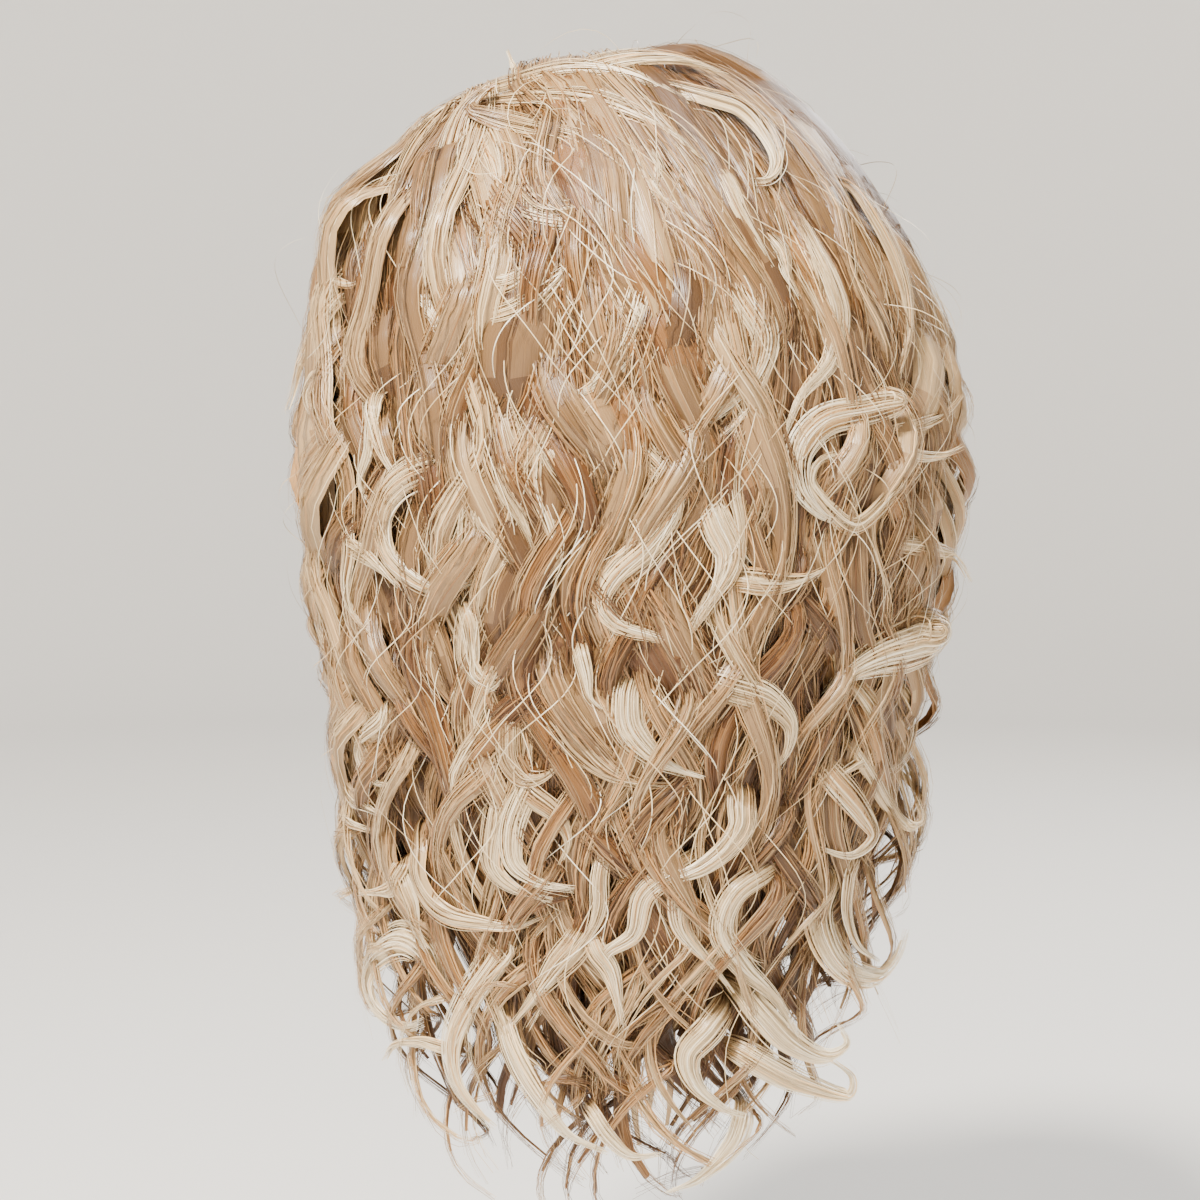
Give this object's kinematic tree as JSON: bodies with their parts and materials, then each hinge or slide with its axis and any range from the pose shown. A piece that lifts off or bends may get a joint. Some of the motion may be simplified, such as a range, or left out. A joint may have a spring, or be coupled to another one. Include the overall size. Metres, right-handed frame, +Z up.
{
  "type": "lace front wig",
  "caption": "Long, full blonde wig of S-waves and ringlets on a hollow cap, with a fine lace strip along the front hairline and an open face side.",
  "frame": {"origin": "inside of the cap's crown, where it sits on the top of the head", "axes": "+Z up, -Y towards the face, +X towards the wearer's left"},
  "size_m": [0.2939, 0.2431, 0.4965],
  "materials": {
    "cap_net": "fine elastic net",
    "lace": "sheer net",
    "blonde_hair": "soft satin strands"
  },
  "bodies": {
    "root": {"cap": "cap_net", "lace_front": "lace", "hair_top": "blonde_hair", "hair_back": "blonde_hair", "hair_left": "blonde_hair", "hair_right": "blonde_hair"}
  },
  "joints": []
}
